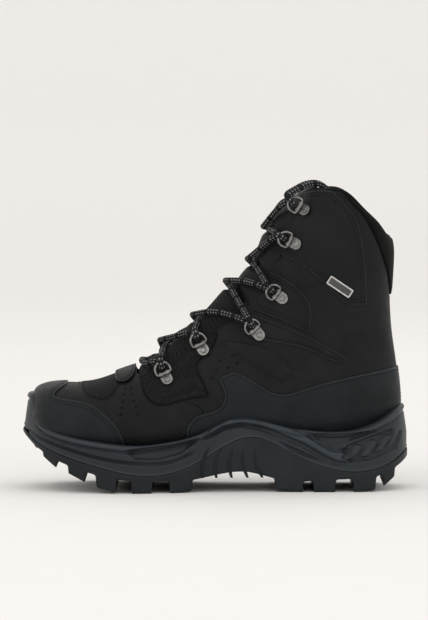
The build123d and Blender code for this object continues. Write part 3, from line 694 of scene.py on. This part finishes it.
def stitches(name, ring, distances, outer, pitch=3.0, length=2.1, thick=0.3, keep=None):
    """Sewn thread in rows this far in from a ring's edge, where keep says so of a point."""
    points, faces = [], []
    hands = np.arange(6) * pi / 3
    profile = [(-0.5, 0.35), (-0.38, 0.9), (0, 1.1), (0.38, 0.9), (0.5, 0.35)]
    for distance in distances:
        row = moved_in(ring, distance)
        dense = np.vstack([row, row[:1]])
        line3 = surface(dense[:, 0], dense[:, 1], outer + 0.1)
        far = np.concatenate([[0], np.cumsum(np.linalg.norm(np.diff(line3, axis=0), axis=1))])
        count = int(far[-1] / pitch)
        at = (np.arange(count) + 0.5) * far[-1] / count
        for begin in at:
            here = np.array([np.interp(begin, far, line3[:, i]) for i in range(3)])
            if keep is not None and not keep(here):
                continue
            ahead = np.array([np.interp(min(begin + 0.6, far[-1]), far, line3[:, i]) for i in range(3)])
            along = ahead - here
            norm = np.linalg.norm(along)
            if norm < 1e-6:
                continue
            along /= norm
            place = np.array([[np.interp(begin, far, dense[:, 0]), np.interp(begin, far, dense[:, 1])]])
            up = outward(place)[0]
            side = np.cross(up, along)
            start = len(points)
            for share, wide in profile:
                for hand in hands:
                    points.append(
                        here + along * share * length + side * cos(hand) * wide * thick * 0.9
                        + up * (sin(hand) * wide * thick * 0.8 - 0.02)
                    )
            faces.extend(tuple(start + corner for corner in face) for face in tube(len(profile), 6))
    return solid(name, points, faces, THREAD) if points else None


def top_of_sole(x):
    """Height of the midsole's top edge."""
    return np.interp(x, SOLE_LINE[:, 0], SOLE_LINE[:, 1])


SOLE_LINE = through(SOLE_TOP, 1.0)
SOLE_LINE = SOLE_LINE[np.argsort(SOLE_LINE[:, 0])]


def above_sole(point):
    return point[2] > top_of_sole(point[0]) + 1.5


UNDER = 9  # how far the upper's pieces reach below the midsole's top edge


def low_edge(start, end, step=6):
    """A line below the midsole's top edge, between two values of X."""
    xs = np.linspace(start, end, max(int(abs(end - start) / step), 2))
    return [(x, max(top_of_sole(x) - UNDER, 24)) for x in xs]


TOE_END = [(0.9, -0.66), (0.45, -0.6), (0.45, 0.6), (0.9, 0.66)]


def both_sides(*runs, end=()):
    """A closed ring across the ridge: an open line on the lateral side, and back on the medial side."""
    open_line = np.vstack([through(run, 0.8) for run in runs])
    return np.vstack([chart(open_line, -1), *([end] if len(end) else []), chart(open_line, 1)[::-1]])


# ---- Reliefs ------------------------------------------------------------------------------------
# These weaves also give a tone, high on the yarns and low between them; cloth darkens where it is low, as painted
# shade.
def ribbed(points, away):
    """A knit with ribs across the foot."""
    phase = points[:, 0] * 2 * pi / 1.9
    cross = np.abs(points[:, 1]) * 2 * pi / 1.3
    high = 0.5 + 0.5 * np.sin(phase)
    return 0.38 * high * (0.8 + 0.2 * np.sin(cross)) - 0.1, high


def diagonal(points, away):
    """A coarse weave whose yarns run diagonally down the side."""
    one = np.sin((points[:, 0] + points[:, 2]) * 2 * pi / 3.4)
    two = np.sin((points[:, 0] - points[:, 2]) * 2 * pi / 3.4)
    high = np.maximum(np.abs(one) * (two > 0), np.abs(two) * (one > 0))
    return 0.34 * high - 0.1, high


def herringbone(points, away):
    """Slanted yarns whose direction changes from band to band."""
    band = np.floor(points[:, 1] / 3.0)
    turn = np.where(band % 2 == 0, 1.0, -1.0)
    high = 0.5 + 0.5 * np.sin((points[:, 2] * 1.0 + turn * points[:, 1]) * 2 * pi / 2.2)
    return 0.3 * high, high


def ripples(points, away):
    """Leather that has moved a little: low, slow waves."""
    x, y, z = points.T
    wave = np.sin(x / 7.5 + np.sin(z / 9) * 1.4) * np.sin(z / 11 + y / 14)
    return 0.16 * wave * np.clip(away / 8, 0, 1), np.zeros(len(points))


def pressed(height, pattern=None):
    """Tongue padding that swells between the laces and stays clear of them."""
    laces = KDTree(len(lace_line))
    for number, point in enumerate(lace_line):
        laces.insert(point, number)
    laces.balance()

    def relief(points, away):
        free = np.array([laces.find(point)[2] for point in points]) - LACE_DIAMETER / 2 - 0.5
        swell = np.clip(free, 0, height) * (1 - np.exp(-away / 4))
        if pattern is None:
            return swell, np.full(len(points), 0.5)
        fine, tone = pattern(points, away)
        return swell + fine * np.clip(free, 0, 1), tone
    return relief


def crowned(height, reach):
    """Padding under the piece, full away from its edges."""
    def relief(points, away):
        return height * (1 - np.exp(-((away / reach) ** 1.5))), np.full(len(points), 0.5)
    return relief


# ---- Panels of the upper -------------------------------------------------------------------------
THROAT_LINE = through(THROAT, 0.8)
COLLAR_LINE = through(COLLAR, 0.8)


def shifted(line, dx, dz):
    return [(x + dx, z + dz) for x, z in line]


def side_ring(runs, hand, **options):
    """The ring of a piece on one side; at the heel line it goes a little past, to meet its twin."""
    ring = loop(chart(outline(*runs), hand), **options)
    ring[:, 1] = np.where(np.abs(ring[:, 1]) > 0.97, hand * 1.004, ring[:, 1])
    return ring


def hands():
    return ((-1, "lateral"), (1, "medial"))


# Vamp and quarters, under everything else.
vamp_edge = [(-62, 95), (-60, 92), (-36, 73), (-10, 63), (-9, 52), (-12, 36)]
toe_low = low_edge(-13, -141)
vamp_ring = loop(both_sides(vamp_edge, toe_low, end=TOE_END), rounds=2)
dots = [(-70.3, 81.8), (-71.1, 77.4), (-72, 72), (-72.7, 66.9), (-73.7, 61.5)]
dots += [(-65.6, 81.9), (-64.4, 77.4), (-63.2, 72.3), (-61.8, 67), (-60.4, 61.5)]
holes = np.vstack([chart(dots, -1), chart(dots, 1)])
panel("vamp_leather", vamp_ring, 1.3, 3.3, BASE_LEATHER, step=2.6, relief=ripples, pits=holes, replaces=["vamp"])

quarter_runs = [
    [(-61, 93), (-59.6, 92.4), (-35.6, 73.4), (-9.5, 63.4), (-8.5, 52), (-11.5, 36)], low_edge(-11, 150),
    [(152, 62), (152, 90), (150, 120), (150, 151)],
    [(139, 152), (137.5, 166), (130.7, 188.4), (116.4, 215.4), (101.5, 233)],
    [(97, 235.2), (84.5, 236.2), (72, 234.6), (66, 232.5)], THROAT_LINE[::-1][14:-3],
]
quarter_dots = [(10, 97.6), (16.9, 101), (13.4, 107.4), (-2.8, 89.4), (0.5, 95.5), (3.5, 103)]
for hand, side in hands():
    ring = side_ring(quarter_runs, hand, rounds=2)
    panel(
        f"quarter_leather_{side}", ring, 1.4, 3.3, BASE_LEATHER, step=3.0, relief=ripples,
        pits=chart(quarter_dots, hand), replaces=[f"quarter_{side}"],
    )

# Toe cap, over the front of the vamp.
cap_edge = [(-117, 84), (-126.4, 76.6), (-101.9, 70.7), (-86, 61.6), (-75, 49), (-70, 34)]
cap_ring = loop(both_sides(cap_edge, low_edge(-71, -141), end=TOE_END), rounds=3)
TWO_ROWS = CUT_RIM + [(1.9, 0), (2.3, -0.2), (2.7, 0), (4.2, 0), (4.6, -0.2), (5.0, 0)]
panel(
    "toe_cap_leather", cap_ring, 0, 1.3, SMOOTH_LEATHER, rim=TWO_ROWS, step=2.6, relief=ripples,
    replaces=["toe_cap"],
)
stitches("toe_cap_stitching", cap_ring, (2.3, 4.6), -0.02, keep=above_sole)

# Ribbed window on the vamp, with its sewn border.
window = [(-106, 84), (-101, 77.4), (-94, 74.7), (-87, 73.5), (-80, 78), (-76, 84), (-75, 92)]
window_ring = loop(both_sides(window), rounds=3)
panel("vamp_ribbed_mesh", window_ring, 0.9, 1.3, MESH_CLOTH, step=0.8, relief=ribbed, replaces=["vamp_mesh"])
stitches("vamp_window_stitching", moved_in(window_ring, -1.6), (0,), 1.22, keep=lambda p: p[2] < 84)

strap = [(-79, 92.5), (-77.5, 87), (-73, 86), (-64, 91.5), (-62.5, 97)]
strap_ring = loop(both_sides(strap), rounds=2)
panel("throat_base_strap", strap_ring, -1.3, 0.9, STRAP_LEATHER, rim=SEWN_RIM, step=2.0, replaces=["throat_strap"])
stitches("throat_strap_stitching", strap_ring, (2.1,), -1.33)

# Side panels.
mesh_runs = [
    [(-59, 90), (-55, 77), (-46, 68.8), (-26, 71.5), (-4, 74.8)], [(-9.5, 88.5), (-14, 100), (-4, 110), (2, 126)],
    THROAT_LINE[(THROAT_LINE[:, 0] > -57) & (THROAT_LINE[:, 0] < -8)][::-1] - (0, 1.2),
]
heel_runs = [
    low_edge(150, -22), [(-22, 49), (-15.8, 58.1), (3, 65), (7.5, 72), (2.4, 88.6)],
    [(15, 94.5), (30, 86.5), (49, 76.4), (71.9, 80.6), (99.5, 88.2), (122.5, 92.6), (152, 97.5)],
    [(153, 80), (153, 62)],
]
bar_runs = [[(4, 119), (37.8, 113.4), (62, 93)], [(52, 85.6), (21.3, 104.6), (8, 113.5)]]
instep_runs = [
    [(23, 133)], [(29, 138.5), (54, 130), (89.6, 112.6), (104, 104.6)],
    [(105, 101), (93, 102), (77, 109.7), (42, 118), (26, 121.5)],
]
facing_runs = [
    [(27, 152)], [(29, 142), (54, 133.5), (73, 124.5)], [(75.5, 135), (75, 145), (66.8, 157.7), (34, 175.4)],
    THROAT_LINE[(THROAT_LINE[:, 0] > 27) & (THROAT_LINE[:, 0] < 40)][::-1] + (0.8, -0.6),
]
cuff_runs = [
    THROAT_LINE[(THROAT_LINE[:, 0] > 45) & (THROAT_LINE[:, 1] < 232)] + (0.6, -0.4),
    [(70, 234.2), (84, 236), (93, 235)],
    [(93, 234), (111, 212), (114.2, 200.7), (118, 172), (119.3, 146.3)],
    [(103.5, 145.7), (84.5, 164), (66.8, 177.9), (49, 187)],
]
for hand, side in hands():
    ring = side_ring(mesh_runs, hand)
    panel(
        f"side_mesh_{side}", ring, 0.7, 1.3, MESH_CLOTH,
        rim=[(0, 0.0), (0.4, 0.1), (1.4, 0.1), (1.8, -0.05)], step=0.85,
        relief=diagonal, replaces=[f"mesh_panel_{side}"],
    )
    stitches(f"side_mesh_stitching_{side}", ring, (1.6,), 0.62)
    ring = side_ring(heel_runs, hand)
    panel(
        f"heel_leather_{side}", ring, 0, 1.3, SMOOTH_LEATHER, rim=SEWN_RIM, step=3.0, relief=ripples,
        replaces=[f"heel_overlay_{side}"],
    )
    stitches(f"heel_stitching_{side}", ring, (2.1,), -0.02, keep=above_sole)
    ring = side_ring(bar_runs, hand)
    panel(
        f"padded_bar_{side}", ring, 0, 1.3, STRAP_LEATHER, rim=SOFT_RIM, step=1.6, relief=crowned(1.5, 2.6),
        replaces=[f"bar_strap_{side}"],
    )
    ring = side_ring(instep_runs, hand)
    panel(
        f"instep_leather_{side}", ring, 0, 1.3, STRAP_LEATHER, rim=SEWN_RIM, step=1.8, relief=crowned(0.9, 3.5),
        replaces=[f"instep_strap_{side}"],
    )
    stitches(f"instep_stitching_{side}", ring, (2.1,), 0.0)
    ring = side_ring(facing_runs, hand)
    panel(
        f"facing_leather_{side}", ring, 0, 1.3, STRAP_LEATHER, rim=TWICE_SEWN_RIM, step=2.4, relief=ripples,
        replaces=[f"facing_{side}"],
    )
    stitches(f"facing_stitching_{side}", ring, (2.1, 4.6), -0.02)
    ring = side_ring(cuff_runs, hand)
    panel(
        f"cuff_leather_{side}", ring, 0, 1.3, STRAP_LEATHER, rim=TWICE_SEWN_RIM, step=2.8, relief=ripples,
        replaces=[f"cuff_{side}"],
    )
    stitches(f"cuff_stitching_{side}", ring, (2.1, 4.6), -0.02)

# ---- Tongue and collar ----------------------------------------------------------------------------
lower_throat = THROAT_LINE[(THROAT_LINE[:, 0] > -66) & (THROAT_LINE[:, 0] < 19)] + (5, -4)
upper_throat = THROAT_LINE[(THROAT_LINE[:, 0] > 19.5) & (THROAT_LINE[:, 1] < 243)] + (6, -3)
ring = loop(both_sides(lower_throat, [(23, 143.5), (17, 158), (12, 168)]), rounds=2)
panel(
    "tongue_mesh", ring, 3.4, 6.4, MESH_CLOTH, rim=SOFT_RIM, step=1.0, relief=pressed(4.6, herringbone),
    replaces=["tongue_face"],
)
ring = loop(both_sides([(12.5, 168), (17.6, 158), (23.5, 144)], upper_throat), rounds=2)
tongue_top = panel(
    "tongue_leather", ring, 3.2, 6.4, BASE_LEATHER, rim=SOFT_RIM, step=1.8, relief=pressed(4.2),
    replaces=["tongue_padding"],
)

rear = [(101, 235.6), (103.5, 229.6), (116.9, 215.6), (131.1, 188.8), (137.9, 166.4), (139.3, 152.6)]
rear_chart = chart(through(rear), 1)
top_edge = COLLAR_LINE[(COLLAR_LINE[:, 0] > 101.5) & (COLLAR_LINE[:, 0] < 138.5)]
top_chart = chart(top_edge, 1)


def round_heel(place):
    """The same places on the lateral side, with t carried past 1 round the heel."""
    return np.stack([place[:, 0], 2 - place[:, 1]], axis=1)


collar_ring = loop(np.vstack([
    rear_chart, [[rear_chart[-1, 0], 1.0]], round_heel(rear_chart)[::-1], round_heel(top_chart), top_chart[::-1],
]), rounds=2)
collar = panel(
    "collar_padding", collar_ring, 0.2, 3.3, COLLAR_CLOTH, rim=SOFT_RIM, step=2.2, relief=crowned(1.6, 5.5),
    replaces=["collar_cover"],
)

# Inside: the lining down to the footbed, and the padded rim between it and the leather.
mouth = COLLAR_LINE[(COLLAR_LINE[:, 0] > 66) & (COLLAR_LINE[:, 0] < 138.5)] - (0, 1.5)
mouth_chart = chart(mouth, 1)
front_line = chart(shifted(THROAT_LINE[::-1][16:], 9, -8), 1)
bottom = chart([(x, max(np.interp(x, [-60, 0, 90, 139], [36, 40, 45, 50]), 30)) for x in np.linspace(-56, 130, 30)], 1)
half = np.vstack([mouth_chart[::-1], front_line, bottom])
lining_ring = loop(np.vstack([half, round_heel(half)[::-1]]), step=3, rounds=2)
panel("lining_cloth", lining_ring, 5.6, 8.0, LINING_CLOTH, rim=CUT_RIM, step=4.0, replaces=["lining"])


def rim_roll(name, place, inner, outer, up, down, material, replaces=()):
    """A padded roll along an edge of the upper, rising over it and reaching down between its layers."""
    here, ds, dt = slopes(place)
    along = np.gradient(here, axis=0)
    along /= np.linalg.norm(along, axis=1)[:, None]
    lift = np.cross(along, outward(place))
    lift *= np.sign(lift[:, 2])[:, None] / np.linalg.norm(lift, axis=1)[:, None]
    around = 18
    angle = np.arange(around) * 2 * pi / around
    middle, half_wide = (inner + outer) / 2, (inner - outer) / 2
    points = []
    for index, (s, t) in enumerate(place):
        ease = min(1, 0.35 + min(index, len(place) - 1 - index) / 5)
        ring = surface(np.full(around, s), np.full(around, t), middle + half_wide * ease * np.cos(angle))
        rise = np.where(np.sin(angle) > 0, up, down) * np.sin(angle) * ease
        points.append(ring + rise[:, None] * lift[index][None])
    return solid(name, np.vstack(points), tube(len(place), around), material, replaces)


roll_line = np.vstack([mouth_chart, round_heel(mouth_chart)[::-1][1:]])
roll_line = evenly(roll_line * (10, 100), 2.0) / (10, 100)
roll = rim_roll("collar_roll", roll_line, 9.0, 1.4, 3.4, 9, COLLAR_CLOTH, ["ankle_foam"])


# ---- Sole ---------------------------------------------------------------------------------------
PLAN = [
    (-152.4, 3), (-146, -21), (-128, -41.5), (-95, -54), (-60, -56), (-20, -48), (20, -43.5), (60, -42.5), (100, -43),
    (130, -37.5), (147, -21), (152.4, 0), (147, 21), (130, 36.5), (100, 41.5), (60, 41), (20, 42), (-20, 46.5),
    (-60, 55.4), (-95, 55), (-128, 44), (-146, 26),
]
LIP = [
    (-156, 55), (-145.9, 43.1), (-122.3, 30.3), (-90.5, 20.4), (-63.4, 14.2), (-45.2, 13.9), (-18, 21.3), (3.6, 34),
    (28.6, 43.5), (52.4, 35.3), (81.1, 21.6), (113.6, 16), (141.1, 24.1), (156, 36),
]
LONG_GROOVE = [(-146, 46), (-141, 43.1), (-127, 37.6), (-99.6, 29.5), (-77, 25), (-54.3, 23.1), (-36.1, 24), (-18, 31)]
FOREFOOT_WINDOW = [(-70, 33.5), (-63.4, 27), (-45.2, 26.6), (-27, 31), (-12, 42.6), (-35, 37.6), (-62, 35)]
ARCH_RIB = [
    (-6, 45), (6, 52), (20, 54.5), (35.6, 52), (53.2, 45.6), (70.9, 38), (85.1, 29.6), (95.6, 24.6), (106, 24.2),
    (104, 30.6), (91, 32), (85.1, 35), (70.9, 44.4), (57.7, 50.4), (42, 54.6), (28, 57.2), (12, 57), (-2, 50.5),
]
HEEL_POCKET = [(74, 46), (88, 37.5), (97, 34.5), (106, 40), (118, 44.6), (128, 48.6), (108, 46.2), (90, 45.6)]
UNDER_POCKET = [(50, 40), (68, 32), (82, 25.4), (90, 23), (76, 26.4), (62, 32)]
FIN_FIELD = [(99, 26), (108, 23.6), (124, 25.4), (143, 33), (147.5, 46), (138, 48), (120, 42.6), (104, 36.4)]
FINS = [
    [(103, 26.2), (109, 25.6), (116.6, 36), (111, 37.6)], [(114.6, 27.6), (120.6, 28.2), (129, 39.6), (123.6, 41)],
    [(126, 30.6), (131.4, 32.4), (139, 43), (134, 44.6)], [(135.6, 34.6), (140, 37.4), (146, 47), (141.6, 48)],
]


def to_polygon(x, z, corners):
    """Signed distance from a polygon's edge, positive inside."""
    corners = np.asarray(corners, float)
    x, z = np.asarray(x, float), np.asarray(z, float)
    near = np.full(x.shape, 1e9)
    odd = np.zeros(x.shape, bool)
    for (ax, az), (bx, bz) in zip(corners, np.roll(corners, -1, 0)):
        ex, ez = bx - ax, bz - az
        share = np.clip(((x - ax) * ex + (z - az) * ez) / (ex * ex + ez * ez), 0, 1)
        near = np.minimum(near, np.hypot(x - ax - share * ex, z - az - share * ez))
        if ez:
            crosses = (az > z) != (bz > z)
            odd ^= crosses & (x < ax + (z - az) * ex / ez)
    return np.where(odd, near, -near)


def step_in(distance, soft=0.8):
    """0 outside, 1 inside, with a soft edge."""
    q = np.clip(distance / (2 * soft) + 0.5, 0, 1)
    return q * q * (3 - 2 * q)


def sculpted(x, z, low, high):
    """How far the midsole's side is cut in at a place."""
    groove = through(LONG_GROOVE, 1.0)
    line_z = np.interp(x, groove[:, 0], groove[:, 1])
    cut = 1.7 * np.exp(-(((z - line_z) / 1.15) ** 2)) * step_in(-16 - x, 3)
    below = high - z
    cut += 1.0 * np.exp(-(((below - 5.4) / 1.0) ** 2))
    cut -= 0.9 * np.exp(-(((below - 2.6) / 1.9) ** 2))
    cut += 3.0 * step_in(to_polygon(x, z, FOREFOOT_WINDOW), 0.9)
    rib = step_in(to_polygon(x, z, ARCH_RIB), 1.0)
    near_rib = step_in(to_polygon(x, z, ARCH_RIB) + 3.4, 1.4)
    cut += 1.5 * (near_rib - rib)
    cut -= 1.3 * rib
    cut += 2.4 * step_in(to_polygon(x, z, HEEL_POCKET))
    cut += 1.6 * step_in(to_polygon(x, z, UNDER_POCKET))
    field = step_in(to_polygon(x, z, FIN_FIELD))
    blocks = np.max([step_in(to_polygon(x, z, fin), 0.7) for fin in FINS], axis=0)
    cut += 2.3 * field * (1 - blocks) - 0.3 * blocks
    cut -= 0.5 * np.exp(-(((z - low) / 1.5) ** 2))
    return cut


plan = np.array(PLAN, float)
wrapped_plan = np.vstack([plan[-4:], plan, plan[:5]])
knots = np.concatenate([[0], np.cumsum(np.linalg.norm(np.diff(wrapped_plan, axis=0), axis=1))])
plan_curve = spline(knots, wrapped_plan)(np.linspace(knots[4], knots[4 + len(plan)], 3000))
around_sole = evenly(plan_curve, 1.3)


def sole_ring(x, y, z, inset):
    """Points of the sole's side wall, drawn in by an inset and by the taper over its widest height."""
    inset = inset + np.maximum(0, z - 45) * tan(radians(8))
    return np.stack([x * (1 - inset / 152.4), y * (1 - inset / 43.5), z], axis=-1)


lip_line = through(LIP, 1.0)
columns = len(around_sole)
x, y = around_sole[:, 0], around_sole[:, 1]
low = np.interp(x, lip_line[:, 0], lip_line[:, 1])
EASE = 5  # columns each side over which the top edge is eased, so that the toe bumper rises smoothly
high = np.mean([np.roll(top_of_sole(x), shift) for shift in range(-EASE, EASE + 1)], axis=0)
rows, painted_light_tones = [], []
ROWS = 46
rows.append(sole_ring(x, y, low + 0.2, np.full(columns, 12.0)))
painted_light_tones.append(np.zeros(columns))
for row in range(ROWS + 1):
    v = row / ROWS
    z = low + (high - low) * v
    cut = sculpted(x, z, low, high)
    roll_in = 1.6 * np.clip((v - 0.955) / 0.045, 0, 1) ** 2 + 0.5 * np.clip((0.02 - v) / 0.02, 0, 1)
    rows.append(sole_ring(x, y, z, 0.6 + cut + roll_in))
    # Painted highlight: lighter where the wall stands proud (top band, arch rib, fins), with a thin light line along
    # the lip.
    painted_light_tones.append(np.clip(-cut, 0, 1) + 0.9 * np.exp(-(((z - low) / 0.8) ** 2)))
rows.append(sole_ring(x, y, high - 0.2, np.full(columns, 5.0)))
painted_light_tones.append(np.zeros(columns))
rows.append(sole_ring(x, y, high - 6.0, np.full(columns, 12.0)))
painted_light_tones.append(np.zeros(columns))
band_points = np.stack(rows, axis=1).reshape(-1, 3)
solid(
    "midsole_sculpted", band_points, tube(columns, len(rows), closed=True), MIDSOLE_FOAM, ["midsole"],
    tags={"wear_and_painted_highlight": np.stack(painted_light_tones, axis=1).ravel()},
)


def arch_fin(x, lean, hand):
    """Points and faces of one upright fin under the arch, on one side of the outsole."""
    rows = []
    for share in np.linspace(0, 1, 9):
        z = 11.5 + 24 * share
        width = 0.35 + 1.25 * sin(pi * min(share + 0.12, 1)) ** 0.7
        out = 1.7 * sin(pi * min(share * 0.9 + 0.1, 1)) ** 0.6
        middle = x + lean * (share - 0.5) - 2.5 * sin(pi * share)
        edge = np.interp(middle, SIDE_PLAN[hand][:, 0], SIDE_PLAN[hand][:, 1])
        for along, proud in ((-1, -1.2), (-0.55, 0.55), (0, 1), (0.55, 0.55), (1, -1.2), (0, -2)):
            rows.append((middle + along * width, edge + hand * proud * out, z))
    return np.array(rows), tube(9, 6)


SIDE_PLAN = {}
for hand in (-1, 1):
    part = around_sole[around_sole[:, 1] * hand > 5]
    SIDE_PLAN[hand] = part[np.argsort(part[:, 0])]
for hand, side in hands():
    points, faces = [], []
    for x, lean in ((-7, 5), (3, 4), (13.5, 1), (24, -3), (34.5, -5)):
        fin_points, fin_faces = arch_fin(x, lean, hand)
        faces.extend(tuple(len(points) + corner for corner in face) for face in fin_faces)
        points.extend(fin_points)
    solid(f"arch_fins_{side}", points, faces, OUTSOLE_RUBBER)


def cad_copy(name, nodes, material, voxel, smoothing, body="boot"):
    """A rounded piece in a CAD node's place: its mesh closed, remeshed and smoothed."""
    verts, faces = [], []
    for node in nodes:
        mesh = NODES[node].data
        start = len(verts)
        verts.extend(tuple(v.co) for v in mesh.vertices)
        faces.extend(tuple(start + i for i in polygon.vertices) for polygon in mesh.polygons)
    mesh = bpy.data.meshes.new(name)
    mesh.from_pydata(verts, [], faces)
    piece = bpy.data.objects.new(name, mesh)
    bpy.context.collection.objects.link(piece)
    weld = piece.modifiers.new("weld", "WELD")
    weld.merge_threshold = 0.00002
    remesh = piece.modifiers.new("remesh", "REMESH")
    remesh.mode = "VOXEL"
    remesh.voxel_size = voxel * MM
    smooth = piece.modifiers.new("smooth", "SMOOTH")
    smooth.factor = 0.5
    smooth.iterations = smoothing
    bpy.context.view_layer.update()
    shaped = bpy.data.meshes.new_from_object(piece.evaluated_get(bpy.context.evaluated_depsgraph_get()))
    piece.modifiers.clear()
    piece.data = shaped
    bpy.data.meshes.remove(mesh)
    shaped.materials.clear()
    shaped.materials.append(material)
    shaped.polygons.foreach_set("use_smooth", np.ones(len(shaped.polygons), bool))
    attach(piece, body)
    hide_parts(*nodes)
    return piece


cad_copy("outsole_moulded", ["outsole"], OUTSOLE_RUBBER, 0.9, 2)
cad_copy("footbed_cushion", ["footbed"], FOOTBED_CLOTH, 1.6, 3)

# ---- Finishes of the CAD pieces that stay ---------------------------------------------------------
FINISHES = {
    "ring_clips": HARDWARE, "clip_rivets": HARDWARE, "d_ring": HARDWARE, "badge_frame": BADGE_METAL,
    "badge_plate": BADGE_ENAMEL, "aglets": AGLET_PLASTIC, "insole_board": STIFF_BOARD, "toe_puff": STIFF_BOARD,
    "heel_counter": STIFF_BOARD, "shank": HARDWARE, "ankle_foam": PAD_FOAM,
}
for name, node in NODES.items():
    for start, finish in FINISHES.items():
        if name.startswith(start):
            node.data.materials.clear()
            node.data.materials.append(finish)
